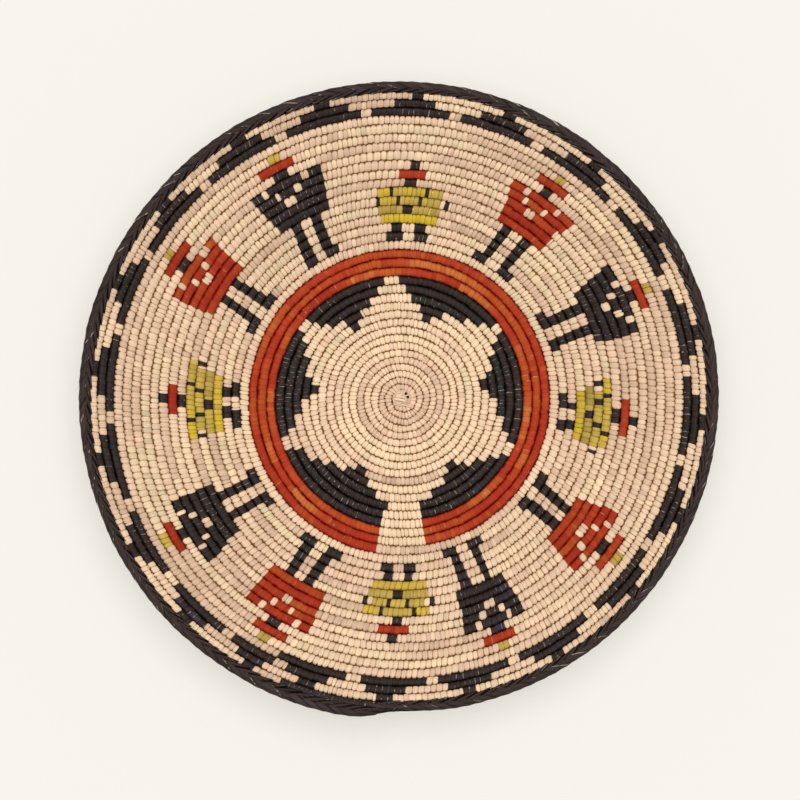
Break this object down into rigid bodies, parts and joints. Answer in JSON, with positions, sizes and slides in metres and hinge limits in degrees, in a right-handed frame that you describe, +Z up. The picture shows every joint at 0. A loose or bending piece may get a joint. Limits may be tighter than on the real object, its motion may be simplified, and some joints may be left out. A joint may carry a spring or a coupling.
{
  "type": "coiled basketry wall plate",
  "caption": "Shallow round coiled basketry plate, one long bundle sewn turn by turn in dyed splint, with a stepped star, a ring, figures, a stepped border and a braided rim.",
  "frame": {"origin": "centre of the coil's start, on the flat base that the plate rests on", "axes": "+Z up out of the decorated face, the plate lying face up; +X to the right and +Y to the top of the pattern, whose pathway gap is at -Y"},
  "size_m": [0.4012, 0.3981, 0.0404],
  "materials": {
    "natural_splint": "undyed split leaf stitches, satin, cream to tan, with dyed stitches for the figures",
    "black_splint": "black-dyed split leaf stitches, satin, with a few pale flecks",
    "red_splint": "red-dyed split leaf stitches, satin, red-brown to orange",
    "peeled_rods": "matt peeled rods and split grass, inside the stitches"
  },
  "bodies": {
    "root": {"border_sewing_turn_34": "black_splint", "border_sewing_turn_35": "black_splint", "border_sewing_turn_36": "natural_splint", "centre_sewing_turn_01": "natural_splint", "centre_sewing_turn_02": "natural_splint", "centre_sewing_turn_03": "natural_splint", "centre_sewing_turn_04": "natural_splint", "centre_sewing_turn_05": "natural_splint", "centre_sewing_turn_06": "natural_splint", "centre_sewing_turn_07": "natural_splint", "centre_sewing_turn_08": "natural_splint", "centre_sewing_turn_09": "natural_splint", "field_sewing_turn_19": "natural_splint", "field_sewing_turn_20": "natural_splint", "field_sewing_turn_21": "natural_splint", "field_sewing_turn_22": "natural_splint", "field_sewing_turn_23": "natural_splint", "field_sewing_turn_24": "natural_splint", "field_sewing_turn_25": "natural_splint", "field_sewing_turn_26": "natural_splint", "field_sewing_turn_27": "natural_splint", "field_sewing_turn_28": "natural_splint", "field_sewing_turn_29": "natural_splint", "field_sewing_turn_30": "natural_splint", "field_sewing_turn_31": "natural_splint", "field_sewing_turn_32": "natural_splint", "field_sewing_turn_33": "natural_splint", "pathway_sewing_inner_end": "natural_splint", "pathway_sewing_turn_16": "natural_splint", "pathway_sewing_turn_17": "natural_splint", "pathway_sewing_turn_18": "natural_splint", "red_ring_sewing_turn_16": "red_splint", "red_ring_sewing_turn_17": "red_splint", "red_ring_sewing_turn_18": "red_splint", "rim_braid": "black_splint", "rod_bundle": "peeled_rods", "star_sewing_turn_10": "natural_splint", "star_sewing_turn_11": "natural_splint", "star_sewing_turn_12": "natural_splint", "star_sewing_turn_13": "black_splint", "star_sewing_turn_14": "black_splint", "star_sewing_turn_15": "black_splint", "start_knot": "natural_splint"}
  },
  "joints": []
}
